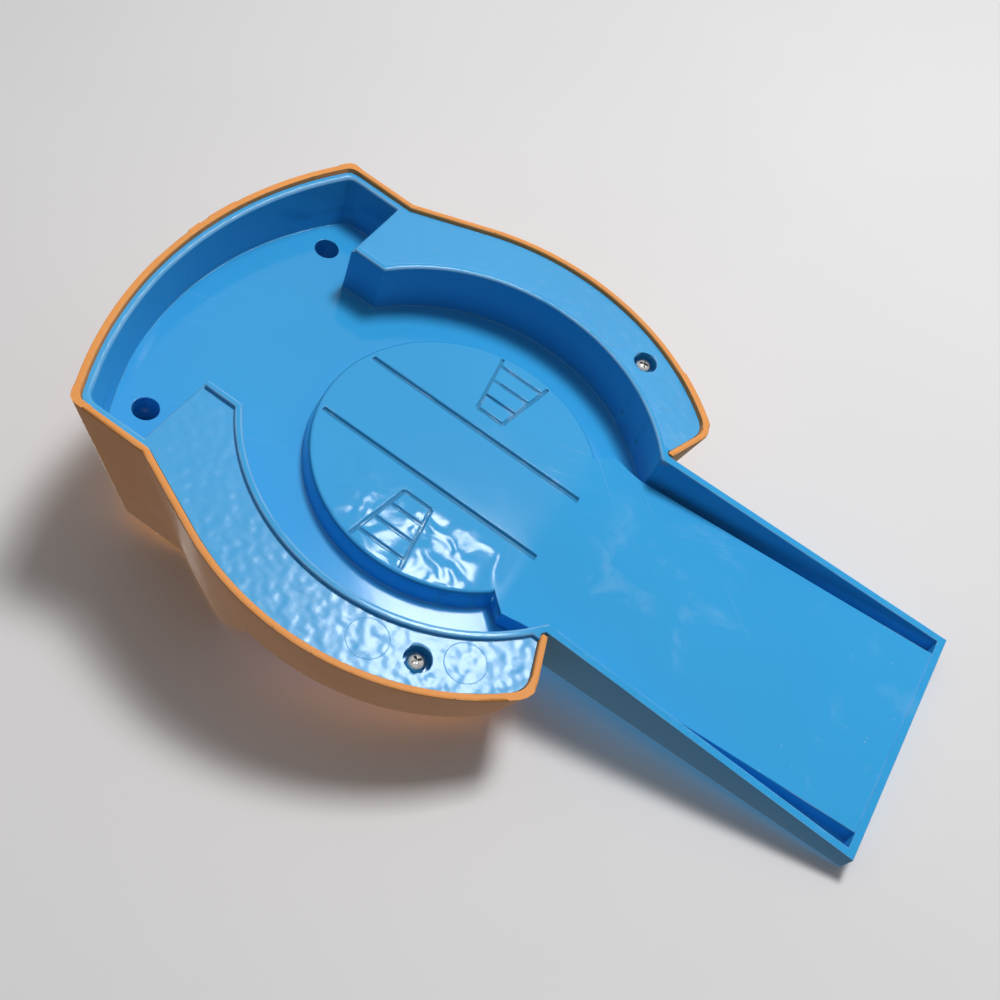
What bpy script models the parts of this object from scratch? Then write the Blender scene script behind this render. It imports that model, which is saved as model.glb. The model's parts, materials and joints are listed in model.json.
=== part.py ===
"""Press-to-launch ramp for a small toy vehicle, as an assembly of separate pieces.

A blue base tray holds a round arena with a sunk disc and an exit ramp. An orange housing covers its rim
and rises at the back over the launcher: a button turns a rocker, and the rocker drives a pusher forward
against two return springs.

Sizes are millimetres and become metres as each mesh is made. The arena's centre is x = 0, +X runs down
the ramp, +Z is up and z = 0 is the rim that the toy stands on.
"""

import math

import bmesh
import bpy
from mathutils import Matrix, Vector

MM = 0.001

# Plan of the housing at the ground
SIDE_X, SIDE_RADIUS = -3.0, 74.8
BLOCK_HALF, CORNER_X = 58.0, -55.8
BACK_MIDDLE_X, BACK_CORNER_X, BACK_ROUND = -92.55, -77.45, 2.0
FRONT_X, FRONT_Y, FRONT_TILT, FRONT_ROUND = 47.2, 34.8, math.radians(19.6), 4.0
CHEEK_FRONT = -8.0
SIDE_STEPS, BACK_STEPS, ROUND_STEPS = 26, 22, 4

# How far the housing's walls lean in for each millimetre of height
ARC_LEAN, SIDE_LEAN, FRONT_LEAN, BACK_MIDDLE_LEAN, BACK_CORNER_LEAN = 0.225, 0.153, 0.15, 0.10, 0.247

# Housing walls and heights
HOUSING_WALL, FIT_GAP, RIM_GAP = 1.9, 0.3, 0.15
HOUSING_TOP, HOUSING_ROUND = 49.0, 2.0
ARM_TOP, ARM_ROUND = 25.5, 3.0
FRONT_WALL_X, FRONT_WALL = -44.0, 2.4

# Base tray
DECK_LOW, DECK_HIGH = 16.2, 18.4
DISC_X, DISC_RADIUS, DISC_LOW, DISC_HIGH, DISC_ROUND = 1.1, 39.6, 10.0, 12.2, 1.1
ARENA_X, ARENA_RADIUS, TRAY_WALL = -0.8, 55.6, 2.2
PAD_LOW, PAD_HIGH, PAD_BACK_X, NOTCH_Y = 1.2, 3.4, -58.3, 30.9
LIP, LIP_ROUND = 2.1, 0.6
POCKET_INSET, POCKET_DRAFT, POCKET_ROUND = 3.95, 0.04, 0.9
RAMP_START, RAMP_TIP, RAMP_SLOPE = 43.6, 134.3, 0.11
RAMP_HALF_START, RAMP_HALF_TIP, RAMP_DRAFT = 34.0, 36.3, 0.07
LANE_HALF, KERB_RISE = 29.6, 6.6
RAIL_Y, RAIL_BACK, RAIL_FRONT = 11.5, -34.9, 33.0

# Launch mechanism
PIVOT_X, PIVOT_Z = -60.0, 34.5
SWING = math.radians(25)
REAR_ARM, LOWER_ARM, ARM_END = 10.0, 13.5, 1.6
BUTTON_X, BUTTON_HALF_X, BUTTON_HALF_Y, BUTTON_TOP = -66.0, 11.5, 18.1, 54.5
ROD_Y, ROD_Z, ROD_RADIUS = 15.5, 24.5, 1.5
SPRING_BACK, SPRING_FRONT, SPRING_RADIUS, WIRE_RADIUS = -71.0, -51.8, 2.7, 0.3
SPRING_TURNS, POINTS_PER_TURN = 9, 9
FRAME_SCREWS = [(x, y) for x in (-73.5, -53.5) for y in (-27.6, 27.6)]
BACK_SCREWS = [(-69.8, -39.1), (-69.8, 39.1)]
PAD_SCREWS = [(25.4, -59.2), (25.4, 59.2)]

ROOT_X = -(RAMP_TIP + BACK_MIDDLE_X) / 2
TURN = {"X": Matrix.Rotation(math.pi / 2, 4, "Y"), "Y": Matrix.Rotation(math.pi / 2, 4, "X"), "Z": Matrix()}


# Scene, materials and mesh helpers


def clear_scene():
    for obj in list(bpy.data.objects):
        bpy.data.objects.remove(obj, do_unlink=True)


def make_collection(name):
    collection = bpy.data.collections.new(name)
    bpy.context.scene.collection.children.link(collection)
    return collection


def make_material(name, colour, roughness, metallic=0.0):
    material = bpy.data.materials.new(name)
    material.use_nodes = True
    shader = material.node_tree.nodes["Principled BSDF"]
    shader.inputs["Base Color"].default_value = (*colour, 1.0)
    shader.inputs["Roughness"].default_value = roughness
    shader.inputs["Metallic"].default_value = metallic
    return material


def make_empty(name, place, parent=None):
    empty = bpy.data.objects.new(name, None)
    empty.location = Vector(place) * MM
    empty.parent = parent
    empty.empty_display_size = 0.01
    parts.objects.link(empty)
    return empty


def place_object(name, data, material=None, joint=None):
    """Adds a part if it has a material, and a cutter if not. A moving part hangs from its joint's empty."""
    obj = bpy.data.objects.new(name, data)
    obj.parent = root
    if joint:
        obj.parent = joint
        obj.location = -joint.location
    if material:
        data.materials.append(material)
        parts.objects.link(obj)
    else:
        cutters.objects.link(obj)
        obj.hide_render = True
        obj.display_type = "WIRE"
    return obj


def finish_mesh(name, mesh, material=None, joint=None):
    """Makes an object of a bmesh in millimetres, facing outwards."""
    bmesh.ops.recalc_face_normals(mesh, faces=mesh.faces)
    bmesh.ops.scale(mesh, vec=(MM, MM, MM), verts=mesh.verts)
    data = bpy.data.meshes.new(name)
    mesh.to_mesh(data)
    mesh.free()
    return place_object(name, data, material, joint)


def loft(name, rings, material=None, joint=None):
    """A closed skin over rings of 3D points, each ring with as many points as the next."""
    mesh = bmesh.new()
    rows = [[mesh.verts.new(point) for point in ring] for ring in rings]
    count = len(rows[0])
    for low, high in zip(rows, rows[1:]):
        for i in range(count):
            j = (i + 1) % count
            mesh.faces.new((low[i], low[j], high[j], high[i]))
    mesh.faces.new(reversed(rows[0]))
    mesh.faces.new(rows[-1])
    return finish_mesh(name, mesh, material, joint)


def plate(name, outline, low, high, axis="Z", material=None, joint=None):
    """A flat outline as a filled 2D curve, extruded along Z, or along Y for an outline in X and Z."""
    curve = bpy.data.curves.new(name, "CURVE")
    curve.dimensions = "2D"
    curve.fill_mode = "BOTH"
    curve.extrude = (high - low) / 2 * MM
    spline = curve.splines.new("POLY")
    spline.points.add(len(outline) - 1)
    for point, (u, v) in zip(spline.points, outline):
        point.co = (u * MM, v * MM, 0.0, 1.0)
    spline.use_cyclic_u = True
    source = bpy.data.objects.new(name, curve)
    cutters.objects.link(source)
    graph = bpy.context.evaluated_depsgraph_get()
    data = bpy.data.meshes.new_from_object(source.evaluated_get(graph))
    bpy.data.objects.remove(source)
    mesh = bmesh.new()
    mesh.from_mesh(data)
    bpy.data.meshes.remove(data)
    bmesh.ops.remove_doubles(mesh, verts=mesh.verts, dist=1e-6)
    bmesh.ops.scale(mesh, vec=(1 / MM, 1 / MM, 1 / MM), verts=mesh.verts)
    bmesh.ops.transform(mesh, matrix=TURN["Y"] if axis == "Y" else Matrix(), verts=mesh.verts)
    middle = (low + high) / 2
    bmesh.ops.translate(mesh, vec=(0, middle, 0) if axis == "Y" else (0, 0, middle), verts=mesh.verts)
    return finish_mesh(name, mesh, material, joint)


def cylinders(name, rods, axis="Z", material=None, joint=None, segments=24):
    """One mesh with a cylinder for each (centre, radius, length) or (centre, radius, length, far radius)."""
    mesh = bmesh.new()
    for centre, radius, length, *far in rods:
        bmesh.ops.create_cone(
            mesh,
            cap_ends=True,
            segments=segments,
            radius1=radius,
            radius2=far[0] if far else radius,
            depth=length,
            matrix=Matrix.Translation(centre) @ TURN[axis],
        )
    return finish_mesh(name, mesh, material, joint)


def uprights(name, places, radius, low, high, material=None, segments=24):
    """Equal upright cylinders at several places."""
    rods = [((x, y, (low + high) / 2), radius, high - low) for x, y in places]
    return cylinders(name, rods, "Z", material, None, segments)


def blocks(name, corners, material=None, joint=None):
    """One mesh with a box for each (low corner, high corner)."""
    mesh = bmesh.new()
    for low, high in corners:
        low, high = Vector(low), Vector(high)
        size = Matrix.Diagonal((*(high - low), 1.0))
        bmesh.ops.create_cube(mesh, size=1.0, matrix=Matrix.Translation((low + high) / 2) @ size)
    return finish_mesh(name, mesh, material, joint)


def bars(name, lines, depth_axis, material=None, joint=None):
    """One mesh with a straight bar for each (start, end, thickness, depth)."""
    mesh = bmesh.new()
    across = Vector(depth_axis)
    for start, end, thickness, depth in lines:
        start, end = Vector(start), Vector(end)
        along = (end - start).normalized()
        basis = Matrix((along, across, along.cross(across))).transposed().to_4x4()
        size = Matrix.Diagonal(((end - start).length, depth, thickness, 1.0))
        bmesh.ops.create_cube(mesh, size=1.0, matrix=Matrix.Translation((start + end) / 2) @ basis @ size)
    return finish_mesh(name, mesh, material, joint)


def combine(target, tool, operation):
    modifier = target.modifiers.new(tool.name, "BOOLEAN")
    modifier.operation = operation
    modifier.solver = "EXACT"
    modifier.object = tool
    modifier.use_self = True
    return target


def join(target, *tools):
    for tool in tools:
        combine(target, tool, "UNION")
    return target


def cut(target, *tools):
    for tool in tools:
        combine(target, tool, "DIFFERENCE")
    return target


# Outlines


def arc(x, y, radius, start, end, steps):
    angles = [start + (end - start) * i / steps for i in range(steps + 1)]
    return [(x + radius * math.cos(a), y + radius * math.sin(a)) for a in angles]


def bend(start, corner, end, steps=ROUND_STEPS):
    """A rounded corner as a quadratic curve."""
    points = []
    for i in range(steps + 1):
        t = i / steps
        weights = ((1 - t) ** 2, 2 * t * (1 - t), t * t)
        points.append(tuple(sum(w * p[k] for w, p in zip(weights, (start, corner, end))) for k in (0, 1)))
    return points


def mirrored(half):
    """Closes an outline that runs from the front to the middle of the back on the +Y side."""
    return half + [(x, -y) for x, y in reversed(half) if y > 1e-6]


def at(outline, z):
    return [(x, y, z) for x, y in outline]


def tangent_angle():
    """Direction, from the side arc's centre, in which the straight run to the concave corner leaves it."""
    corner = Vector((CORNER_X - SIDE_X, BLOCK_HALF))
    return math.atan2(corner.y, corner.x) - math.acos(SIDE_RADIUS / corner.length)


def front_edge(inset, radius):
    """The slanted end of an arm: its point beside the ramp, its direction, and where it meets the side arc."""
    along = Vector((math.sin(FRONT_TILT), math.cos(FRONT_TILT)))
    outward = Vector((along.y, -along.x))
    start = Vector((FRONT_X, FRONT_Y)) - inset * outward
    start -= along * (start.y - FRONT_Y) / along.y
    offset = start - Vector((SIDE_X, 0))
    half = offset.dot(along)
    reach = -half + math.sqrt(half**2 - offset.length_squared + radius**2)
    return start, along, start + reach * along


def block_back(z, inset):
    """From the block's side, round the back corner and along the back, which is more curved higher up."""
    half = BLOCK_HALF - SIDE_LEAN * z
    middle = BACK_MIDDLE_X + BACK_MIDDLE_LEAN * z
    rise = BACK_CORNER_X + BACK_CORNER_LEAN * z - middle
    radius = (half**2 + rise**2) / (2 * rise)
    centre = middle + radius
    half -= inset
    radius -= inset
    turn = math.asin(half / radius)
    sharp = (centre - radius * math.cos(turn), half)
    first = math.pi - turn + BACK_ROUND / radius
    rounding = bend((sharp[0] + BACK_ROUND, half), sharp, arc(centre, 0, radius, first, first, 1)[0])
    return rounding + arc(centre, 0, radius, first, math.pi, BACK_STEPS)[1:]


def rim(z, inset=0.0, cheeks_only=False):
    """The housing's outline at a height, moved in by inset. cheeks_only leaves out the arms' front."""
    radius = SIDE_RADIUS - ARC_LEAN * z - inset
    leave = tangent_angle()
    if cheeks_only:
        first = math.acos((CHEEK_FRONT - SIDE_X) / radius)
        half = []
    else:
        start, along, sharp = front_edge(inset + FRONT_LEAN * z, radius)
        first = math.atan2(sharp.y, sharp.x - SIDE_X) + FRONT_ROUND / radius
        end = arc(SIDE_X, 0, radius, first, first, 1)[0]
        half = [tuple(start)] + bend(sharp - FRONT_ROUND * along, sharp, end)[:-1]
    half += arc(SIDE_X, 0, radius, first, leave, SIDE_STEPS)
    side = BLOCK_HALF - SIDE_LEAN * z - inset
    half.append((SIDE_X + (radius - side * math.sin(leave)) / math.cos(leave), side))
    return at(mirrored(half + block_back(z, inset)), z)


def rounded_top(top, radius, cheeks_only=False, steps=3):
    """Rings from the ground to a top whose edge is rounded."""
    rings = [rim(0.0, 0.0, cheeks_only)]
    for i in range(steps + 1):
        angle = math.pi / 2 * i / steps
        rings.append(rim(top - radius + radius * math.sin(angle), radius * (1 - math.cos(angle)), cheeks_only))
    return rings


def arm_tops(steps=4):
    """Rings of what stays under the arms' rounded tops. They stand clear of the walls lower down."""
    start = math.radians(10)
    rings = []
    for i in range(steps + 1):
        angle = start + (math.pi / 2 - start) * i / steps
        rings.append((ARM_TOP - ARM_ROUND * (1 - math.sin(angle)), ARM_ROUND * (1 - math.cos(angle))))
    low = 8.0
    rings.insert(0, (low, rings[0][1] - (rings[0][0] - low) * math.tan(start)))
    return [rim(z, inset) for z, inset in rings]


def arena_hole(radius, wall_x, ramp_half):
    """The open arena: round, flat along the launcher's front wall and open towards the ramp."""
    front = math.asin(ramp_half / radius)
    back = math.acos((wall_x - ARENA_X) / radius)
    half = [(90.0, ramp_half)] + arc(ARENA_X, 0, radius, front, back, 36)
    return half + [(x, -y) for x, y in reversed(half)]


def slot_outline(x, half_x, half_y, radius, steps=6):
    """A rounded rectangle about (x, 0)."""
    points = []
    for i, (sx, sy) in enumerate(((1, 1), (-1, 1), (-1, -1), (1, -1))):
        start = i * math.pi / 2
        centre = (x + sx * (half_x - radius), sy * (half_y - radius))
        points += arc(*centre, radius, start, start + math.pi / 2, steps)
    return points


def cheek_slope(drop=0.0):
    """Side view of what is cut away over the cheeks, which fall gently and then steeply to the arms."""
    gentle = [(-47.0, 49.5), (-45.0, 49.0), (-25.0, 44.0)]
    steep = [(-22.8, 42.2), (-20.2, 38.2), (-16.6, 31.6), (-13.8, 25.5), (-12.6, 20.0)]
    line = [(x - 0.2 * drop, z - 1.0 * drop) for x, z in gentle]
    line += [(x - 0.9 * drop, z - 0.5 * drop) for x, z in steep]
    return line + [(-11.0, 10.0), (80.0, 10.0), (80.0, 70.0), (-47.0 - drop, 70.0)]


def arm_nose(drop=0.0):
    """Side view of what is cut away over the arms' front ends, above a quarter of an ellipse."""
    curve = arc(0, 0, 1, math.pi / 2, 0, 12)
    line = [(33.5 + (19.0 - drop) * u, 4.0 + (22.0 - drop) * v) for u, v in curve]
    return line + [(80, 4.0), (80, 70), (33.5, 70)]


# Base tray


def lane_low(x):
    """Underside of the disc's level and of the ramp's lane."""
    return DISC_LOW - RAMP_SLOPE * max(0.0, x - RAMP_START)


def ramp_half(x):
    return RAMP_HALF_START + (RAMP_HALF_TIP - RAMP_HALF_START) * (x - 45.0) / (RAMP_TIP - 45.0)


def section(x, low_half, high_half, low, high):
    """A ring across the ramp at x."""
    return [(x, -low_half, low), (x, low_half, low), (x, high_half, high), (x, -high_half, high)]


def ramp_section(x, inset, low, drop):
    """Across the ramp's hull at x: its walls lean in, and its top is drop under the kerbs."""
    high = lane_low(x) + KERB_RISE - drop
    half = ramp_half(x) - inset
    return section(x, half - RAMP_DRAFT * low, half - RAMP_DRAFT * high, low, high)


def deck_rim(z):
    """Outline of the tray's tall part: arena wall, notch and the back under the launcher."""
    inset = HOUSING_WALL + RIM_GAP
    radius = ARENA_RADIUS + TRAY_WALL
    notch = NOTCH_Y + TRAY_WALL
    half = arc(ARENA_X, 0, radius, math.asin(RAMP_HALF_START / radius), math.pi - math.asin(notch / radius), 36)
    half.append((PAD_BACK_X + TRAY_WALL, notch))
    half.append((PAD_BACK_X + TRAY_WALL, BLOCK_HALF - SIDE_LEAN * z - inset))
    return at(mirrored(half + block_back(z, inset)), z)


def pocket_rim(z, arena_more=0.0, back_more=0.0):
    """Outline of the hollow under the deck, widened round the arena and at the back."""
    inset = POCKET_INSET - POCKET_DRAFT * z - back_more
    radius = ARENA_RADIUS + arena_more
    notch = NOTCH_Y + arena_more
    back = PAD_BACK_X + back_more
    front = math.asin((RAMP_HALF_START - TRAY_WALL) / radius)
    half = arc(ARENA_X, 0, radius, front, math.pi - math.asin(notch / radius), 36)
    half += [(back, notch), (back, BLOCK_HALF - SIDE_LEAN * z - inset)]
    return at(mirrored(half + block_back(z, inset)), z)


def rounded_pocket(steps=3):
    """Rings of the hollow under the deck. Its mouth is rounded at the lip and, deeper, at the pads' level."""
    rings = [pocket_rim(-1.0, 2 * POCKET_ROUND, POCKET_ROUND)]
    quarter = [math.pi / 2 * i / steps for i in range(steps + 1)]
    for angle in quarter:
        rise, more = POCKET_ROUND * (1 - math.cos(angle)), POCKET_ROUND * (1 - math.sin(angle))
        rings.append(pocket_rim(rise, more, POCKET_ROUND))
    for angle in quarter:
        rise, more = POCKET_ROUND * (1 - math.cos(angle)), POCKET_ROUND * (1 - math.sin(angle))
        rings.append(pocket_rim(PAD_LOW + rise, 0.0, more))
    return rings + [pocket_rim(DECK_LOW)]


def pad_recess(side, steps=3):
    """Rings of the shallow recess under a pad and the back, which leaves a rounded lip round the arena."""
    rows = [(-1.0, LIP - LIP_ROUND)]
    for i in range(steps + 1):
        angle = math.pi / 2 * i / steps
        rows.append((LIP_ROUND * (1 - math.cos(angle)), LIP - LIP_ROUND * (1 - math.sin(angle))))
    rows.append((PAD_LOW, LIP))
    rings = []
    for z, lip in rows:
        radius, notch, ramp = ARENA_RADIUS + lip, NOTCH_Y + lip, RAMP_HALF_START + lip + 0.6
        first, last = math.asin(ramp / radius), math.pi - math.asin(notch / radius)
        outline = arc(ARENA_X, 0, radius, first, last, 36)
        outline += [(PAD_BACK_X - 1.5, notch), (PAD_BACK_X - 1.5, -1.0), (BACK_MIDDLE_X - 9.0, -1.0)]
        outline += [(BACK_MIDDLE_X - 9.0, 90.0), (75.0, 90.0), (75.0, ramp)]
        rings.append([(x, side * y, z) for x, y in outline])
    return rings


def disc_plug():
    """Rings of the sunk disc from below, with a rounded edge and a drafted wall."""
    rows = []
    for i in range(4):
        angle = math.pi / 2 * i / 3
        rows.append((DISC_RADIUS - DISC_ROUND * (1 - math.sin(angle)), DISC_LOW + DISC_ROUND * (1 - math.cos(angle))))
    rows.append((DISC_RADIUS + 1.0, DECK_LOW + 0.6))
    return [at(arc(DISC_X, 0, radius, 0, 2 * math.pi * 95 / 96, 95), z) for radius, z in rows]


def ladder_lines(side, low, high, width):
    """Two uprights and four rungs, widening away from the lane."""
    middle = (low + high) / 2
    near, far = 18.0, 37.5
    half_near, half_far = 4.2, 7.7

    def half_at(y):
        return half_near + (half_far - half_near) * (y - near) / (far - near)

    ends = [((s * half_at(near), side * near), (s * half_at(far), side * far)) for s in (-1, 1)]
    ends += [((-half_at(y), side * y), (half_at(y), side * y)) for y in (18.0, 23.4, 29.2, 34.8)]
    return [((*a, middle), (*b, middle), high - low, width) for a, b in ends]


def add_ladders(name, low, high, width, flare=1.0):
    """Bars lying flat on the disc: their thickness is upright and their width is level. flare widens their low side."""
    mesh = bmesh.new()
    for side in (-1, 1):
        for start, end, thickness, level in ladder_lines(side, low, high, width):
            start, end = Vector(start), Vector(end)
            turn = Matrix.Rotation(math.atan2(end.y - start.y, end.x - start.x), 4, "Z")
            size = Matrix.Diagonal(((end - start).length, level, thickness, 1.0))
            place = Matrix.Translation((start + end) / 2) @ turn @ size
            for vert in bmesh.ops.create_cube(mesh, size=1.0)["verts"]:
                vert.co.y *= flare if vert.co.z < 0 else 1.0
                vert.co = place @ vert.co
    return finish_mesh(name, mesh)


def add_rails(name, half_back, half_front, low, high, flare=0.0):
    """Two tapering strips along the lane, as one mesh. flare widens their low side."""
    mesh = bmesh.new()
    for side in (-1, 1):
        rings = []
        for x, half in ((RAIL_BACK, half_back), (RAIL_FRONT, half_front)):
            ring = [(x, -half - flare, low), (x, half + flare, low), (x, half, high), (x, -half, high)]
            rings.append([mesh.verts.new((px, py + side * RAIL_Y, pz)) for px, py, pz in ring])
        for i in range(4):
            j = (i + 1) % 4
            mesh.faces.new((rings[0][i], rings[0][j], rings[1][j], rings[1][i]))
        mesh.faces.new(reversed(rings[0]))
        mesh.faces.new(rings[1])
    return finish_mesh(name, mesh)


def make_tray():
    tray = loft("base_tray", [rim(z, HOUSING_WALL + RIM_GAP) for z in (0.0, PAD_HIGH)], blue)
    deck = loft("tray_deck", [deck_rim(0.0), deck_rim(DECK_HIGH)])
    hull_ends = (40.0, RAMP_TIP)
    hull = loft("ramp_hull", [ramp_section(x, 0.0, 0.0, 0.0) for x in hull_ends])
    join(tray, deck, hull)

    pocket = loft("under_pocket", rounded_pocket())
    hollow_ends = (42.0, RAMP_TIP - TRAY_WALL)
    hollow = loft("ramp_hollow", [ramp_section(x, TRAY_WALL, -1.0, TRAY_WALL) for x in hollow_ends])
    cut(tray, pocket, hollow)
    for side in (-1, 1):
        cut(tray, loft("pad_recess", pad_recess(side)))

    plug = loft("disc_plug", disc_plug())
    lane = []
    for x, half in ((29.0, 26.0), (34.3, 31.0), (38.6, 30.3), (RAMP_START, LANE_HALF), (RAMP_TIP - 1.0, LANE_HALF)):
        lane.append(section(x, half, half, lane_low(x), lane_low(x) + KERB_RISE - 0.6))
    join(tray, plug, loft("lane_plug", lane))

    sink = [((DISC_X, 0, (DISC_HIGH + 30.0) / 2), DISC_RADIUS - 1.2, 30.0 - DISC_HIGH)]
    recess = cylinders("disc_recess", sink, segments=96)
    thick = DISC_HIGH - DISC_LOW
    clear = LANE_HALF - TRAY_WALL
    channel = [section(x, clear, clear, lane_low(x) + thick, 30.0) for x in (20.0, RAMP_START, RAMP_TIP + 6.0)]
    cut(tray, recess, loft("lane_channel", channel))

    join(tray, add_rails("guide_rails", 1.1, 1.7, DISC_HIGH - 0.7, DISC_HIGH + 1.4))
    cut(tray, add_rails("rail_grooves", 0.35, 0.55, DISC_LOW - 1.0, DISC_LOW + 0.8, 1.05))
    cut(tray, add_ladders("ladder_grooves", DISC_LOW - 1.0, DISC_LOW + 0.5, 0.7, 3.4))
    join(tray, add_ladders("ladder_ribs", DISC_HIGH - 0.5, DISC_HIGH + 0.5, 1.4))

    join(tray, uprights("back_tubes", BACK_SCREWS, 5.3, DECK_LOW + 0.8, 31.0))
    join(tray, uprights("frame_bosses", FRAME_SCREWS, 3.2, DECK_LOW + 0.8, 24.4))
    join(tray, uprights("pad_cups", PAD_SCREWS, 5.3, 2.0, 6.9, segments=32))
    cut(tray, uprights("back_wells", BACK_SCREWS, 3.5, 8.0, 27.5))
    cut(tray, uprights("pad_wells", PAD_SCREWS, 3.5, -2.0, 4.7, segments=32))
    cut(tray, uprights("screw_holes", BACK_SCREWS, 1.55, 26.0, 33.0, segments=16))
    cut(tray, uprights("pad_holes", PAD_SCREWS, 1.55, 4.0, 9.0, segments=16))
    cut(tray, uprights("frame_pilots", FRAME_SCREWS, 1.35, 19.6, 26.0, segments=16))
    return tray


# Housing and button


def make_housing():
    housing = loft("upper_housing", rounded_top(HOUSING_TOP, HOUSING_ROUND), orange)
    over = plate("over_arms", cheek_slope(), -90, 90, "Y")
    cut(over, loft("arm_tops", arm_tops()))
    cut(housing, over, plate("arm_noses", arm_nose(), -90, 90, "Y"))
    cut(housing, plate("arena_hole", arena_hole(ARENA_RADIUS + 0.6, FRONT_WALL_X, FRONT_Y), -5, 80))

    ceiling = DECK_HIGH + FIT_GAP
    low = loft("low_hollow", [rim(z, HOUSING_WALL) for z in (-1.0, ceiling)])
    wall = HOUSING_WALL + 0.25
    arms = loft("arm_hollow", [rim(z, wall) for z in (10.0, ARM_TOP - 3.2)] + [rim(ARM_TOP - 2.2, wall + 1.0)])
    wall += 0.3
    top = HOUSING_TOP - 2.6
    high = loft("block_hollow", [rim(z, wall, True) for z in (10.0, top - 1.5)] + [rim(top, wall + 1.0, True)])
    keep = arena_hole(ARENA_RADIUS + 2.2, FRONT_WALL_X - FRONT_WALL, FRONT_Y + 2.0)
    for hollow in (arms, high):
        cut(hollow, plate(hollow.name + "_wall", keep, -5, 80))
    for hollow in (low, arms):
        cut(hollow, plate(hollow.name + "_noses", arm_nose(2.2), -90, 90, "Y"))
    cut(high, plate("cheek_roofs", cheek_slope(2.4), -90, 90, "Y"))
    cut(housing, low, arms, high)
    tray_wall = arena_hole(ARENA_RADIUS + TRAY_WALL + FIT_GAP, FRONT_WALL_X, FRONT_Y)
    cut(housing, plate("tray_wall_gap", tray_wall, -5, ceiling))

    join(housing, uprights("block_bosses", BACK_SCREWS, 4.2, 31.3, HOUSING_TOP - 2.0))
    join(housing, uprights("arm_bosses", PAD_SCREWS, 3.2, 7.3, ARM_TOP - 1.8))
    cut(housing, uprights("block_pilots", BACK_SCREWS, 1.55, 30.0, 43.0, segments=16))
    cut(housing, uprights("arm_pilots", PAD_SCREWS, 1.55, 6.0, 18.0, segments=16))

    opening = slot_outline(BUTTON_X, BUTTON_HALF_X + 0.5, BUTTON_HALF_Y + 0.5, 6.5)
    cut(housing, plate("button_opening", opening, HOUSING_TOP - 8.0, HOUSING_TOP + 8.0))
    wall = (FRONT_WALL_X - FRONT_WALL - 4.0, FRONT_WALL_X + 4.0)
    cut(housing, blocks("pusher_slot", [((wall[0], -11.8, 10.0), (wall[1], 11.8, 32.0))]))
    return housing


def button_ring(inset, z):
    return at(slot_outline(BUTTON_X, BUTTON_HALF_X - inset, BUTTON_HALF_Y - inset, 6.0 - inset), z)


def make_button():
    rings = [button_ring(0.0, 44.6), button_ring(0.0, BUTTON_TOP - 2.4)]
    for i in range(1, 5):
        angle = math.pi / 2 * i / 4
        rings.append(button_ring(2.4 * (1 - math.cos(angle)), BUTTON_TOP - 2.4 + 2.4 * math.sin(angle)))
    button = loft("launch_button", rings, blue, button_joint)
    flange = slot_outline(BUTTON_X, BUTTON_HALF_X + 1.7, BUTTON_HALF_Y + 1.7, 7.0)
    join(button, plate("button_flange", flange, 44.6, 46.2, joint=button_joint))
    inside = slot_outline(BUTTON_X, BUTTON_HALF_X - 1.8, BUTTON_HALF_Y - 1.8, 4.2)
    cut(button, plate("button_hollow", inside, 40.0, BUTTON_TOP - 2.2, joint=button_joint))
    touch = PIVOT_X - REAR_ARM * math.cos(SWING)
    stem = [((touch, 0, 48.75), 2.5, 8.5), ((touch, 0, 42.8), 0.8, 3.4, 2.5)]
    join(button, cylinders("button_stem", stem, "Z", None, button_joint, 20))
    return button


# Launch mechanism


def make_rocker():
    pivot = Vector((PIVOT_X, 0, PIVOT_Z))
    rear = pivot + REAR_ARM * Vector((-math.cos(SWING), 0, math.sin(SWING)))
    lower = pivot + LOWER_ARM * Vector((-math.sin(SWING), 0, -math.cos(SWING)))
    rocker = cylinders("rocker", [(pivot, 2.9, 9.6)], "Y", grey, rocker_joint)
    arms = [(pivot, rear, 2 * ARM_END, 7.2), (pivot, lower, 2 * ARM_END, 8.4)]
    for i, line in enumerate(arms):
        join(rocker, bars(f"rocker_arm_{i}", [line], (0, 1, 0), None, rocker_joint))
    for i, (end, width) in enumerate(((rear, 7.0), (lower, 8.2))):
        join(rocker, cylinders(f"rocker_end_{i}", [(end, ARM_END, width)], "Y", None, rocker_joint, 16))
    cut(rocker, cylinders("rocker_bore", [(pivot, 1.5, 14.0)], "Y", None, rocker_joint, 16))
    return rocker


def make_pin():
    cylinders("rocker_pin", [((PIVOT_X, 0, PIVOT_Z), 1.25, 51.2)], "Y", steel, None, 16)
    for name, side in (("pin_clip_left", 1), ("pin_clip_right", -1)):
        place = (PIVOT_X, side * 24.4, PIVOT_Z)
        clip = cylinders(name, [(place, 2.7, 0.8)], "Y", steel, None, 20)
        cut(clip, cylinders(name + "_hole", [(place, 1.42, 3.0)], "Y", None, None, 20))


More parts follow.
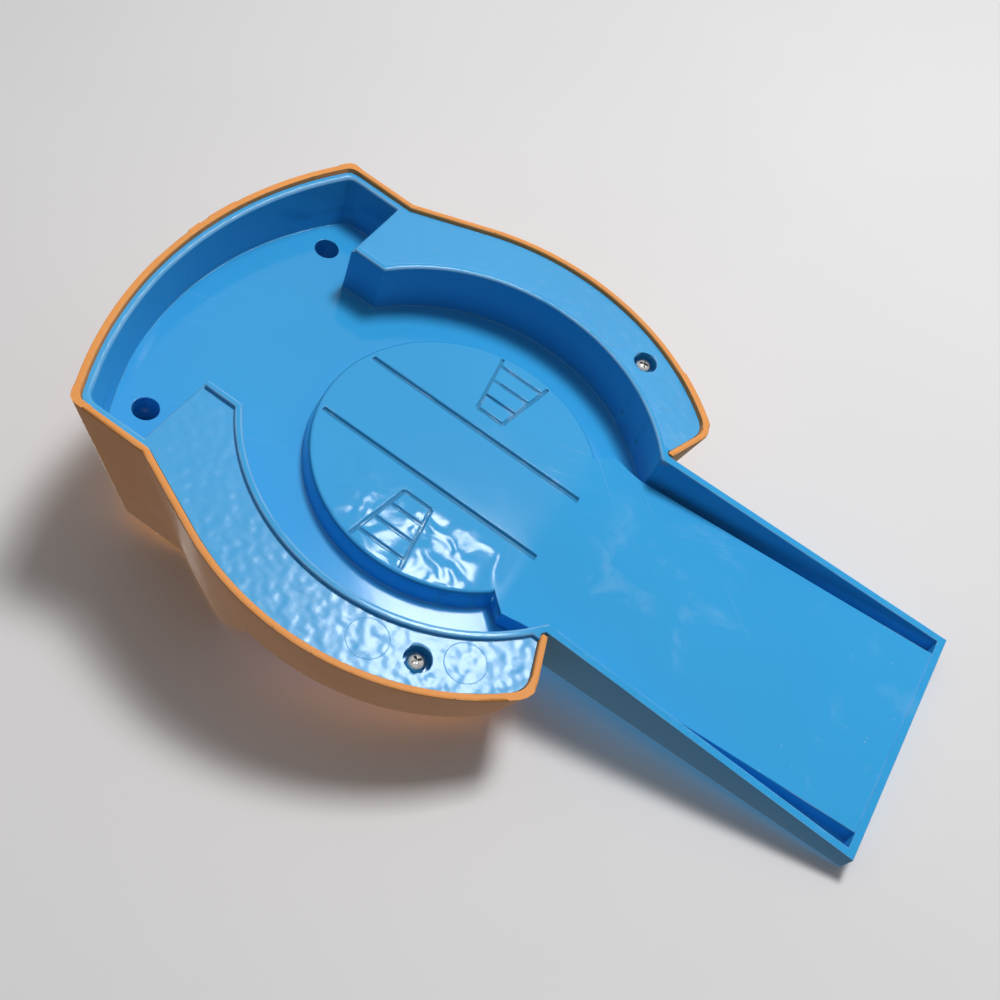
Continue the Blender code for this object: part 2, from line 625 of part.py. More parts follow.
def make_pusher():
    slot_x = PIVOT_X - LOWER_ARM * math.sin(SWING)
    pusher = blocks("pusher", [((-73.0, -9.5, 19.0), (-46.0, 9.5, 24.5))], white, pusher_joint)
    nose = blocks("pusher_nose", [((-50.0, -11.0, 19.0), (-42.6, 11.0, 31.0))], None, pusher_joint)
    yoke = blocks("pusher_yoke", [((-75.5, -19.2, 19.0), (-71.5, 19.2, 29.0))], None, pusher_joint)
    join(pusher, nose, yoke)
    for name, half, low in (("rocker_slot", 2.2, 15.0), ("rocker_slot_mouth", 3.4, 23.0)):
        slot = [((slot_x - half, -5.4, low), (slot_x + half, 5.4, 28.0))]
        cut(pusher, blocks(name, slot, None, pusher_joint))
    holes = [((-73.5, side * ROD_Y, ROD_Z), ROD_RADIUS + 0.25, 12.0) for side in (-1, 1)]
    cut(pusher, cylinders("yoke_holes", holes, "X", None, pusher_joint, 16))
    outline = [(y, z) for y, z in slot_outline(0.0, 10.4, 5.4, 2.0)]
    pad = [[(x, y, z + 25.0) for y, z in outline] for x in (-42.4, -40.4)]
    loft("pusher_pad", pad, rubber, pusher_joint)


def make_frame():
    """A U of rails with two uprights for the rocker's pin, ends that hold the rods, and four screw ears."""
    frame = blocks("launch_frame", [((-79.5, -23.4, 19.0), (-77.1, 23.4, 30.0))], white)
    for i, side in enumerate((-1, 1)):
        span = sorted((side * 21.0, side * 23.4))
        end = sorted((side * 12.0, side * 22.0))
        ear = sorted((side * 23.0, side * 31.4))
        rail = [((-78.0, span[0], 19.0), (-49.0, span[1], 30.0))]
        post = [((-66.0, span[0], 28.0), (-54.0, span[1], 39.0))]
        stop = [((-51.4, end[0], 19.0), (-49.0, end[1], 30.0))]
        ears = [((x - 4.0, ear[0], 24.7), (x + 4.0, ear[1], 26.9)) for x in (-73.5, -53.5)]
        for name, boxes in (("rail", rail), ("post", post), ("stop", stop), ("ears", ears)):
            join(frame, blocks(f"frame_{name}_{i}", boxes))
    cut(frame, cylinders("pin_holes", [((PIVOT_X, 0, PIVOT_Z), 1.45, 60.0)], "Y", segments=16))
    rods = [((-64.0, side * ROD_Y, ROD_Z), ROD_RADIUS + 0.2, 40.0) for side in (-1, 1)]
    cut(frame, cylinders("rod_holes", rods, "X", segments=16))
    cut(frame, uprights("ear_holes", FRAME_SCREWS, 1.35, 20.0, 30.0, segments=16))


def make_spring(name, y):
    """One unbroken coil round a rod. Prints the least gap between its turns."""
    count = SPRING_TURNS * POINTS_PER_TURN
    points = []
    for i in range(count + 1):
        angle = 2 * math.pi * i / POINTS_PER_TURN
        x = SPRING_BACK + (SPRING_FRONT - SPRING_BACK) * i / count
        points.append(Vector((x, y + SPRING_RADIUS * math.cos(angle), ROD_Z + SPRING_RADIUS * math.sin(angle))))
    apart = range(POINTS_PER_TURN - 2, count)
    gap = min((points[i] - points[i + step]).length for step in apart for i in range(count + 1 - step))
    print(f"{name}: least gap to itself {gap - 2 * WIRE_RADIUS:.2f} mm")
    curve = bpy.data.curves.new(name, "CURVE")
    curve.dimensions = "3D"
    curve.bevel_depth = WIRE_RADIUS * MM
    curve.bevel_resolution = 1
    curve.use_fill_caps = True
    spline = curve.splines.new("POLY")
    spline.points.add(count)
    for point, place in zip(spline.points, points):
        point.co = (*(place * MM), 1.0)
    place_object(name, curve, spring_steel)


def make_rods_and_springs():
    for name, side in (("left", 1), ("right", -1)):
        rod = [((-64.2, side * ROD_Y, ROD_Z), ROD_RADIUS, 29.6)]
        cylinders(f"guide_rod_{name}", rod, "X", steel, None, 16)
        make_spring(f"return_spring_{name}", side * ROD_Y)


def make_screw(name, place, head, shank_end, head_radius, shank_radius):
    """A cross-recess screw. It points up if its head's face is under its shank's end."""
    x, y = place
    face, seat = head
    low, high = sorted((face, seat))
    crown = (face - seat) * 0.45
    rings = []
    for z, radius in ((seat, head_radius), (face - crown, head_radius), (face, head_radius * 0.72)):
        rings.append([(*p, z) for p in arc(x, y, radius, 0, 2 * math.pi * 19 / 20, 19)])
    screw = loft(name, rings, zinc)
    start = seat + (face - seat) * 0.3
    shank = [((x, y, (start + shank_end) / 2), shank_radius, abs(start - shank_end))]
    join(screw, cylinders(name + "_shank", shank, segments=12))
    deep = sorted((face + (face - seat), face - (face - seat) * 0.55))
    reach = head_radius * 0.52
    cross = [((x - reach, y - 0.35, deep[0]), (x + reach, y + 0.35, deep[1]))]
    cross += [((x - 0.35, y - reach, deep[0]), (x + 0.35, y + reach, deep[1]))]
    cut(screw, blocks(name + "_cross", cross))


def make_screws():
    sides = ("right", "left")
    for side, place in zip(sides, PAD_SCREWS):
        make_screw(f"arm_screw_{side}", place, (2.0, 4.4), 16.5, 2.45, 1.3)
    for side, place in zip(sides, BACK_SCREWS):
        make_screw(f"block_screw_{side}", place, (25.0, 27.2), 41.0, 2.45, 1.3)
    names = [f"frame_screw_{end}_{side}" for end in ("rear", "front") for side in sides]
    for name, place in zip(names, FRAME_SCREWS):
        make_screw(name, place, (28.9, 27.2), 20.4, 2.2, 1.1)


clear_scene()
parts = make_collection("toy_vehicle_launcher")
cutters = make_collection("cutters")
blue = make_material("blue_plastic", (0.035, 0.31, 0.66), 0.22)
orange = make_material("orange_plastic", (0.72, 0.31, 0.075), 0.45)
white = make_material("white_plastic", (0.75, 0.74, 0.70), 0.40)
grey = make_material("grey_plastic", (0.16, 0.17, 0.18), 0.45)
rubber = make_material("black_rubber", (0.03, 0.03, 0.032), 0.75)
steel = make_material("steel", (0.58, 0.58, 0.57), 0.28, 1.0)
spring_steel = make_material("spring_steel", (0.45, 0.45, 0.46), 0.30, 1.0)
zinc = make_material("zinc_screws", (0.66, 0.66, 0.63), 0.32, 1.0)

root = make_empty("launcher", (ROOT_X, 0, 0))
button_joint = make_empty("button_joint", (BUTTON_X, 0, HOUSING_TOP), root)
rocker_joint = make_empty("rocker_joint", (PIVOT_X, 0, PIVOT_Z), root)
pusher_joint = make_empty("pusher_joint", (-46.0, 0, 21.0), root)

make_tray()
make_housing()
make_button()
make_rocker()
make_pin()
make_pusher()
make_frame()
make_rods_and_springs()
make_screws()
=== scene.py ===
"""Dresses the toy vehicle launcher: softened mouldings, wound springs, screws, finishes, light and camera."""

import json
import math
from types import SimpleNamespace

import bmesh
import bpy
from bpy.props import FloatProperty, FloatVectorProperty, IntProperty, PointerProperty
from mathutils import Matrix, Vector
from mathutils.geometry import intersect_point_line

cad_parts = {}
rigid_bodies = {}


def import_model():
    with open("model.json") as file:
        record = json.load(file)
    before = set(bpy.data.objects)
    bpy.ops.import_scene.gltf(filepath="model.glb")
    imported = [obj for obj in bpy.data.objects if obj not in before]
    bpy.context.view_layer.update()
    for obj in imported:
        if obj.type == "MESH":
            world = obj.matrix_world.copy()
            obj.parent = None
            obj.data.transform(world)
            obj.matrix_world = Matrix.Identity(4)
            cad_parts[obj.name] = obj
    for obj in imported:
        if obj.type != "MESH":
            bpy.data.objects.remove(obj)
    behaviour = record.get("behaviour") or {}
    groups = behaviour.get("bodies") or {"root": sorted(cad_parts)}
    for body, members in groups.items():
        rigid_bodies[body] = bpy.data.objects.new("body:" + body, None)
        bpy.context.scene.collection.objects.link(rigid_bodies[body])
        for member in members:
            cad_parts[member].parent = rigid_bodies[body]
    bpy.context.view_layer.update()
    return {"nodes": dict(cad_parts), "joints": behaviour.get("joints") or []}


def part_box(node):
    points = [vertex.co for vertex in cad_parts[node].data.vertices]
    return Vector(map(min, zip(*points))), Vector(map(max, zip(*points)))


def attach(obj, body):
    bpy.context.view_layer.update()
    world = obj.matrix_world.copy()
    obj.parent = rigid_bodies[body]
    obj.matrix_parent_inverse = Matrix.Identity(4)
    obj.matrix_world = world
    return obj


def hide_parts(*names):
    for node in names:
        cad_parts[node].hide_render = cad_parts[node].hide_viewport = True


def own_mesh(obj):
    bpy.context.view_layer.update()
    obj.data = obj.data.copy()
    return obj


bl_info = {
    "name": "Toy Vehicle Launcher",
    "version": (1, 0, 0),
    "blender": (4, 5, 0),
    "location": "View3D > Sidebar > Launcher",
    "description": "Dresses the packed launcher with mouldings, springs, screws, finishes and a plain stage",
    "category": "Object",
}

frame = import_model()

MM = 0.001

# Limits for the rounding of edges

MERGE = 2e-6
SHARP = math.radians(36)
FOLD = math.radians(125)
FLAT = math.radians(0.6)
LEVEL = 0.99999
THIN_FACE = 0.7
FACE_SHARE = 0.4
END_PIECE = 2.5 * MM
FOLD_REACH = 1.0 * MM
FOLD_SHARES = (0.35, 0.35, 0.0, 0.0, 0.0)

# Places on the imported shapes

GROUND = 0.05 * MM
ARENA_SHIFT = -20.875 * MM
DISC_X, DISC_REACH = ARENA_SHIFT + 1.1 * MM, 40.5 * MM
DISC_LOW, DISC_HIGH = 9.0 * MM, 14.2 * MM
WELL_X, WELL_Y, WELL_REACH = ARENA_SHIFT + 25.4 * MM, 59.2 * MM, 4.1 * MM
PAD_LEVEL = 1.2 * MM
RIM_LEVEL = 1.3 * MM
RAMP_ROOT = 31.0 * MM
MARKS = ((13.4, 62.3), (34.8, 52.8))
RAMP_TIP_X, RAMP_TIP_Z = ARENA_SHIFT + 134.3 * MM, 6.6 * MM

# Profiles of small details

MARK_SEGMENTS = 48
MARK_PROFILE = ((-0.18, 0.02), (-0.07, -0.03), (0.07, -0.03), (0.18, 0.02))
RIB_HALF, RIB_RISE, RIB_SINK = 0.75 * MM, 0.5 * MM, 0.08 * MM

# Ways from the toy to its lamps, and the table it lies on

WINDOW = Vector((-0.0605, -0.4171, -0.9069))
GLINT = Vector((-0.0393, -0.4485, -0.8929))
OVERHEAD = Vector((-0.35, -0.45, 0.82))
LAMP_WIDTH = Vector((0.81, -0.51, 0.28))
LAMP_AIM = Vector((-0.02, 0.02, 0.02))
TABLE_SLOPE, TABLE_GAP, TABLE_HALF = 0.2365, 0.2 * MM, 2.5
FLOOR_FADE = (0.7, 2.0)


# Settings that a user may change


def colour(name, description, default):
    return FloatVectorProperty(name=name, description=description, default=default, subtype="COLOR", size=3,
                               min=0.0, max=1.0)


def length(name, description, millimetres):
    return FloatProperty(name=name, description=description, default=millimetres * MM, min=0.0,
                         subtype="DISTANCE", unit="LENGTH")


def number(name, description, default):
    return IntProperty(name=name, description=description, default=default, min=1)


def power(name, description, watts):
    return FloatProperty(name=name, description=description, default=watts, min=0.0, unit="POWER")


def strength(name, description, default):
    return FloatProperty(name=name, description=description, default=default, min=0.0)


class LauncherColours(bpy.types.PropertyGroup):
    """Colours of the finishes, as linear values."""

    blue: colour("Blue plastic", "Glossy moulded plastic of the tray and the button", (0.036, 0.345, 0.70))
    orange: colour("Orange plastic", "Satin moulded plastic of the housing", (0.79, 0.32, 0.085))
    white: colour("White plastic", "Plain nylon of the frame and the pusher", (0.72, 0.71, 0.67))
    grey: colour("Grey plastic", "Slippery plastic of the rocker", (0.15, 0.16, 0.17))
    rubber: colour("Black rubber", "Bumper on the front of the pusher", (0.022, 0.022, 0.024))
    steel: colour("Steel", "Bright drawn rod", (0.60, 0.60, 0.59))
    spring: colour("Spring wire", "Drawn spring wire", (0.42, 0.42, 0.43))
    zinc: colour("Zinc plating", "Plated screws and clips", (0.57, 0.57, 0.56))
    # Colour mixed with noise into inside corners, which darkens them
    corner_dark: colour("Grime", "Dirt that settles in inside corners", (0.055, 0.045, 0.04))
    table: colour("Table", "Pale table and floor", (0.73, 0.722, 0.73))


class LauncherSizes(bpy.types.PropertyGroup):
    """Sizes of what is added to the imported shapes."""

    shell_edge: length("Shell edge", "Rounding of the edges of the tray and the housing", 0.3)
    seam_edge: length("Seam edge", "Rounding where the tray meets the housing", 0.1)
    rim_edge: length("Rim edge", "Rounding of the outside edge that the housing stands on", 0.8)
    lip_edge: length("Lip edge", "Rounding of the inside edge of that rim", 0.45)
    well_edge: length("Well edge", "Rounding of the mouths of the screw wells", 0.7)
    fine_edge: length("Fine edge", "Rounding of the edges of small ribs and grooves", 0.26)
    inner_edge: length("Inner edge", "Rounding of the edges of the inside parts", 0.2)
    spring_radius: length("Spring radius", "Middle of the wire from the rod's axis", 2.7)
    spring_wire: length("Spring wire", "Radius of the wire", 0.3)
    spring_turns: number("Spring turns", "Turns in each return spring", 9)
    grip_ribs: number("Grip ribs", "Low ribs across the button", 5)
    grip_pitch: length("Grip pitch", "From one rib to the next", 3.2)
    grip_half: length("Grip half width", "Half the length of the longest rib", 10.5)
    mark_radius: length("Ejector mark", "Radius of the round marks under the arms", 5.2)


class LauncherLight(bpy.types.PropertyGroup):
    """Strengths of the light."""

    window: power("Window", "Lamp that shines on the underside", 6.0)
    glint: power("Glint", "Small lamp that glossy plastic mirrors", 2.0)
    overhead: power("Overhead", "Lamp over the toy", 7.0)
    bright: strength("Bright side", "Room light from the window's side", 0.34)
    dim: strength("Dim side", "Room light from the other side", 0.03)
    fill: strength("Fill", "Room light from above", 0.38)


def settings():
    scene = bpy.context.scene
    return scene.launcher_colours, scene.launcher_sizes, scene.launcher_light


# Shader maths


class Value:
    """A number, colour or shader in a node tree. Arithmetic on it adds Math nodes."""

    def __init__(self, owner, socket):
        self.owner = owner
        self.socket = socket

    def maths(self, operation, first, second):
        return self.owner.node("ShaderNodeMath", {"operation": operation}, {0: first, 1: second})

    def __add__(self, other):
        return self.maths("ADD", self, other)

    def __rsub__(self, other):
        return self.maths("SUBTRACT", other, self)

    def __mul__(self, other):
        return self.maths("MULTIPLY", self, other)

    __radd__ = __add__
    __rmul__ = __mul__

    def between(self, low, high):
        """0 under low and 1 over high, smooth between them. With low over high it falls."""
        inputs = {"Value": self, "From Min": low, "From Max": high}
        return self.owner.node("ShaderNodeMapRange", {"interpolation_type": "SMOOTHSTEP"}, inputs)

    def band(self, start, full, fading, end):
        """1 from full to fading, and 0 before start and past end."""
        return self.between(start, full) * self.between(end, fading)

    def most(self, other):
        return self.maths("MAXIMUM", self, other)


class Shading:
    """A shader node tree under construction."""

    def __init__(self, tree):
        self.tree = tree

    def node(self, kind, options=None, inputs=None, output=0):
        node = self.tree.nodes.new(kind)
        for key, value in (options or {}).items():
            setattr(node, key, value)
        for key, value in (inputs or {}).items():
            self.put(node.inputs[key], value)
        return Value(self, node.outputs[output]) if node.outputs else None

    def put(self, socket, value):
        if isinstance(value, Value):
            self.tree.links.new(value.socket, socket)
        elif socket.type == "RGBA" and len(value) == 3:
            socket.default_value = (*value, 1.0)
        else:
            socket.default_value = value

    def shaders(self, factor, first, second):
        """A mix of two shaders."""
        return self.node("ShaderNodeMixShader", None, {0: factor, 1: first, 2: second})


class Finish(Shading):
    """The nodes of one material, which end in a Principled BSDF."""

    def __init__(self, name, **constants):
        self.material = bpy.data.materials.new(name)
        self.material.use_nodes = True
        super().__init__(self.material.node_tree)
        self.shader = self.tree.nodes["Principled BSDF"]
        self.place = self.node("ShaderNodeTexCoord", output="Object")
        self.set(**constants)

    def set(self, **sockets):
        for key, value in sockets.items():
            self.put(self.shader.inputs[key.replace("_", " ").title().replace("Ior", "IOR")], value)

    def axis(self, name):
        return self.node("ShaderNodeSeparateXYZ", None, {0: self.place}, name)

    def facing(self, name):
        """The surface's own direction along an axis, from -1 to 1."""
        normal = self.node("ShaderNodeNewGeometry", output="Normal")
        return self.node("ShaderNodeSeparateXYZ", None, {0: normal}, name)

    def stretched(self, scale, turn=0.0):
        """Object coordinates, turned about the upright axis and scaled."""
        turned = self.node("ShaderNodeMapping", None, {"Vector": self.place, "Rotation": (0.0, 0.0, turn)})
        return self.node("ShaderNodeMapping", None, {"Vector": turned, "Scale": scale})

    def noise(self, scale, detail=2.0, rough=0.5, bend=0.0, place=None):
        inputs = {"Vector": place or self.place, "Scale": scale, "Detail": detail, "Roughness": rough,
                  "Distortion": bend}
        return self.node("ShaderNodeTexNoise", None, inputs, "Fac")

    def lines(self, scale, turn):
        """Noise that is stretched into fine lines."""
        return self.noise(1.0, place=self.stretched(scale, turn))

    def cells(self, scale):
        return self.node("ShaderNodeTexVoronoi", None, {"Vector": self.place, "Scale": scale}, "Distance")

    def edge(self):
        """1 on outside edges, -1 in inside corners and 0 elsewhere, as stored on the mesh."""
        return self.node("ShaderNodeAttribute", {"attribute_name": "edge"}, None, "Fac")

    def surface(self, shader):
        """Ends the material in another shader than its own Principled BSDF."""
        self.put(self.tree.nodes["Material Output"].inputs["Surface"], shader)

    def own(self):
        return Value(self, self.shader.outputs[0])

    def layer(self, shade, normal, rough, specular):
        """A second Principled BSDF, for a Mix Shader."""
        inputs = {"Base Color": shade, "Normal": normal, "Roughness": rough, "Specular IOR Level": specular}
        return self.node("ShaderNodeBsdfPrincipled", None, inputs)

    def mix(self, factor, first, second):
        return self.node("ShaderNodeMix", {"data_type": "RGBA"}, {0: factor, 6: first, 7: second}, 2)

    def bump(self, height, distance, normal=None):
        inputs = {"Height": height, "Distance": distance, "Strength": 1.0}
        if normal:
            inputs["Normal"] = normal
        return self.node("ShaderNodeBump", None, inputs, "Normal")


def tinted(value, factor):
    """A colour made lighter or darker in plain numbers."""
    return tuple(min(1.0, part * factor) for part in value)


def towards(value, other, share):
    return tuple(a + (b - a) * share for a, b in zip(value, other))


# Finishes


def tray_zones(finish):
    """Masks of the places under the tray that look different, from their height and place."""
    height, along, across, level = finish.axis("Z"), finish.axis("X"), finish.axis("Y"), finish.facing("Z")
    under = level.between(-0.55, -0.8)
    pads = height.band(0.7 * MM, 1.0 * MM, 1.5 * MM, 2.0 * MM) * under * along.between(50.0 * MM, 40.0 * MM)
    disc = height.band(8.5 * MM, 9.3 * MM, 11.0 * MM, 11.8 * MM) * under
    near_ladder = across.between(11.0 * MM, 18.0 * MM)
    far_ladder = across.between(-11.0 * MM, -18.0 * MM) * 0.25
    beside = along.band(-46.0 * MM, -34.0 * MM, 1.0 * MM, 10.0 * MM)
    ramp = along.between(16.0 * MM, 26.0 * MM)
    # Low oblique roundings of the lip and the pad edges, where a painted highlight goes
    lip = level.band(-0.2, -0.45, -0.93, -0.995) * height.between(2.5 * MM, 2.1 * MM)
    return SimpleNamespace(
        pads=pads,
        disc=disc,
        ladders=near_ladder.most(far_ladder) * disc * beside,
        ramp=ramp * under,
        tip=along.between(70.0 * MM, 108.0 * MM) * under,
        lane=ramp.most(along.between(4.0 * MM, 13.0 * MM) * disc) * under * (1.0 - pads),
        # The disc's grooves, which get painted shade below
        grooves=height.band(10.1 * MM, 10.5 * MM, 11.8 * MM, 12.5 * MM) * level.between(-0.1, -0.4),
        lip=lip,
    )


def blue_plastic(colours):
    """Glossy moulded plastic: wavy on the disc, pebbled and hazy on the pads, scuffed under the ramp."""
    blue = tuple(colours.blue)
    finish = Finish("blue_plastic_finish", specular_ior_level=0.36)
    zones = tray_zones(finish)
    streaks = finish.lines((18.0, 1500.0, 60.0), 0.42).between(0.65, 0.72)
    crossing = finish.lines((22.0, 1900.0, 60.0), -0.75).between(0.68, 0.74)
    scratches = streaks.most(crossing) * finish.noise(26.0, 3.0, 0.6).between(0.50, 0.68)
    smudges = finish.noise(58.0, 4.0, 0.62, 0.6).between(0.56, 0.78) * zones.ramp
    specks = finish.cells(620.0).between(0.16, 0.09) * finish.noise(170.0).between(0.60, 0.68) * zones.tip
    edge = finish.edge()
    # Lighter outside edges: real wear, joined by a painted highlight on the lip roundings
    wear_and_highlight = edge.between(0.25, 0.9) * finish.noise(210.0, 3.0, 0.6).between(0.42, 0.66)
    wear_and_highlight = wear_and_highlight.most(zones.lip * finish.noise(60.0).between(0.30, 0.55))
    # Inside corners are darkened, broken up by noise
    corner_dark = edge.between(-0.2, -0.9) * finish.noise(70.0, 3.0, 0.6).between(0.40, 0.68)
    tone = finish.noise(14.0).between(0.3, 0.7)
    shade = finish.mix(tone, tinted(blue, 0.97), tinted(blue, 1.03))
    shade = finish.mix(scratches * 0.13, shade, towards(blue, (0.62, 0.78, 0.90), 0.6))
    shade = finish.mix(smudges * 0.20, shade, towards(blue, (0.55, 0.74, 0.88), 0.55))
    shade = finish.mix(specks * 0.75, shade, (0.62, 0.72, 0.78))
    # Painted shade: the disc's grooves are darkened to stand in for the shade inside them
    shade = finish.mix(zones.grooves * 0.55, shade, tinted(blue, 0.32))
    # Lighter edges: real wear, with a painted highlight added on the disc's edge roundings and the lip
    # roundings
    shade = finish.mix(wear_and_highlight * (zones.disc * 0.36 + 0.34), shade, towards(blue, (0.70, 0.84, 0.94), 0.55))
    shade = finish.mix(corner_dark * (0.55 - zones.grooves * 0.45), shade, tuple(colours.corner_dark))
    rough = finish.noise(95.0, 3.0, 0.6) * 0.07 + 0.085
    rough = rough + scratches * 0.10 + smudges * 0.12 + corner_dark * 0.25 + wear_and_highlight * 0.12
    waves = finish.noise(120.0, 1.0, 0.5, 0.6) * (zones.ladders * 0.96 + 0.04)
    normal = finish.bump(waves, 0.6 * MM)
    normal = finish.bump(finish.noise(420.0, 0.0) * zones.pads, 0.16 * MM, normal)
    normal = finish.bump(finish.noise(1500.0), 0.004 * MM, normal)
    normal = finish.bump(scratches * -1.0, 0.004 * MM, normal)
    finish.set(base_color=shade, roughness=rough, normal=normal)
    dull = finish.layer(shade, normal, 0.45, 0.08)
    hazy = finish.layer(shade, normal, 0.28, 1.0)
    glossy = finish.shaders(zones.pads * 0.6, finish.own(), hazy)
    finish.surface(finish.shaders(zones.lane, glossy, dull))
    return finish.material


def orange_plastic(colours):
    """Satin moulded plastic with a fine spark-eroded grain, nicked and rubbed along its edges."""
    orange = tuple(colours.orange)
    finish = Finish("orange_plastic_finish", specular_ior_level=0.3)
    edge = finish.edge()
    rubbed = edge.between(0.2, 0.9) * finish.noise(150.0, 3.0, 0.6).between(0.38, 0.62)
    nicks = edge.between(0.1, 0.6) * finish.noise(520.0, 2.0, 0.6).between(0.66, 0.72)
    # Inside corners are darkened, broken up by noise
    corner = edge.between(-0.2, -0.9) * finish.noise(60.0, 3.0).between(0.36, 0.64)
    patches = finish.noise(30.0, 3.0, 0.6)
    scratches = finish.lines((26.0, 240.0, 1400.0), 0.3).between(0.66, 0.73) * patches.between(0.5, 0.68)
    tone = finish.noise(17.0, 3.0).between(0.3, 0.7)
    shade = finish.mix(tone, tinted(orange, 0.94), tinted(orange, 1.03))
    dirt = finish.noise(44.0, 4.0, 0.65).between(0.58, 0.80)
    shade = finish.mix(dirt * 0.20, shade, tinted(orange, 0.62))
    shade = finish.mix(scratches * 0.30, shade, towards(orange, (0.95, 0.80, 0.60), 0.5))
    shade = finish.mix(rubbed * 0.24, shade, towards(orange, (0.96, 0.78, 0.52), 0.55))
    shade = finish.mix(nicks * 0.55, shade, tinted(orange, 0.40))
    shade = finish.mix(corner * 0.55, shade, tuple(colours.corner_dark))
    rough = finish.noise(120.0, 3.0) * 0.12 + 0.40
    rough = rough + rubbed * -0.08 + dirt * 0.10 + corner * 0.2
    grain = finish.noise(2600.0, 2.0, 0.6)
    normal = finish.bump(grain, 0.022 * MM)
    normal = finish.bump(scratches * -1.0 + nicks * -2.0, 0.02 * MM, normal)
    finish.set(base_color=shade, roughness=rough, normal=normal)
    return finish.material


def plain_plastic(name, base, rough, corner_colour):
    """Unpolished plastic of the inside parts: flow marks, a fine grain and handled edges."""
    finish = Finish(name, specular_ior_level=0.4)
    flow = finish.noise(1.0, 3.0, 0.6, 0.5, finish.stretched((30.0, 140.0, 90.0), 0.2)).between(0.3, 0.7)
    edge = finish.edge()
    handled = edge.between(0.2, 0.9) * finish.noise(260.0, 2.0).between(0.4, 0.65)
    # Inside corners are darkened towards the corner colour
    corner = edge.between(-0.2, -0.9)
    shade = finish.mix(flow, tinted(base, 0.93), tinted(base, 1.04))
    shade = finish.mix(handled * 0.25, shade, towards(base, (0.85, 0.85, 0.85), 0.4))
    shade = finish.mix(corner * 0.35, shade, corner_colour)
    roughness = finish.noise(160.0, 3.0) * 0.14 + (rough - 0.07)
    normal = finish.bump(finish.noise(1900.0, 2.0, 0.6), 0.01 * MM)
    finish.set(base_color=shade, roughness=roughness, normal=normal)
    return finish.material


def black_rubber(base):
    """Dull rubber with a pebbled skin and a dusty bloom."""
    finish = Finish("black_rubber_finish", specular_ior_level=0.3)
    bloom = finish.noise(140.0, 4.0, 0.65).between(0.5, 0.8)
    pebble = finish.cells(1300.0)
    shade = finish.mix(bloom * 0.5, base, towards(base, (0.3, 0.29, 0.27), 0.5))
    finish.set(base_color=shade, roughness=bloom * 0.12 + 0.68, normal=finish.bump(pebble, 0.03 * MM))
    return finish.material


def bright_metal(name, base, rough, lines, spots):
    """Metal with drawing or turning lines and a thin cloudy film."""
    finish = Finish(name, metallic=1.0)
    drawn = finish.noise(1.0, 3.0, 0.6, 0.0, finish.stretched(lines))
    film = finish.noise(420.0, 4.0, 0.6).between(0.45, 0.75)
    shade = finish.mix(film * spots, base, tinted(base, 0.62))
    roughness = drawn * 0.16 + film * 0.10 + (rough - 0.08)
    finish.set(base_color=shade, roughness=roughness, normal=finish.bump(drawn, 0.012 * MM))
    return finish.material


FINISHES = {}


def finish_for(slot):
    """The material of one of the record's slots, made once."""
    if slot not in FINISHES:
        colours = settings()[0]
        makers = {
            "blue_plastic": lambda: blue_plastic(colours),
            "orange_plastic": lambda: orange_plastic(colours),
            "white_plastic": lambda: plain_plastic(
                "white_plastic_finish", tuple(colours.white), 0.42, (0.34, 0.32, 0.28)),
            "grey_plastic": lambda: plain_plastic(
                "grey_plastic_finish", tuple(colours.grey), 0.40, (0.05, 0.05, 0.05)),
            "black_rubber": lambda: black_rubber(tuple(colours.rubber)),
            "steel": lambda: bright_metal(
                "steel_finish", tuple(colours.steel), 0.24, (30.0, 2400.0, 2400.0), 0.25),
            "spring_steel": lambda: bright_metal(
                "spring_steel_finish", tuple(colours.spring), 0.28, (900.0, 2600.0, 2600.0), 0.35),
            "zinc_screws": lambda: bright_metal(
                "zinc_finish", tuple(colours.zinc), 0.30, (800.0, 800.0, 800.0), 0.45),
        }
        FINISHES[slot] = makers[slot]()
    return FINISHES[slot]


# Mesh helpers


def linked(name, data):
    """A new object in the scene, made from its data."""
    item = bpy.data.objects.new(name, data)
    bpy.context.scene.collection.objects.link(item)
    return item


def data_of(mesh, name):
    """Mesh data made from a bmesh, which is freed."""
    data = bpy.data.meshes.new(name)
    mesh.to_mesh(data)
    mesh.free()
    return data


def show(name, mesh, body, slot, *nodes):
    """Links a finished piece, gives it its finish and lets it ride on a body in place of some nodes."""
    piece = linked(name, mesh)
    piece.data.materials.clear()
    piece.data.materials.append(finish_for(slot))
    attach(piece, body)
    if nodes:
        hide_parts(*nodes)
    return piece


def room_beside(edge):
    """How far an edge can be rounded before it uses up a thin face beside it.

    A facet of a curve sets no limit.
    """
    room = 1.0
    for face in edge.link_faces:
        narrow = 2 * face.calc_area() / max(face.calc_perimeter(), MERGE)
        if narrow < THIN_FACE * edge.calc_length():
            room = min(room, FACE_SHARE * narrow)
    return room


def sharp_edges(mesh):
    pairs = [edge for edge in mesh.edges if len(edge.link_faces) == 2]
    return [edge for edge in pairs if edge.calc_face_angle() > SHARP]


def split_ends(mesh, reach):
    """Splits long sharp edges a little way from both ends, so that a fault in a corner stays there."""
    for edge in sharp_edges(mesh):
        if edge.calc_length() > 4 * reach:
            _, vert = bmesh.utils.edge_split(edge, edge.verts[0], reach / edge.calc_length())
            rest = max(vert.link_edges, key=lambda piece: piece.calc_length())
            bmesh.utils.edge_split(rest, rest.other_vert(vert), reach / rest.calc_length())


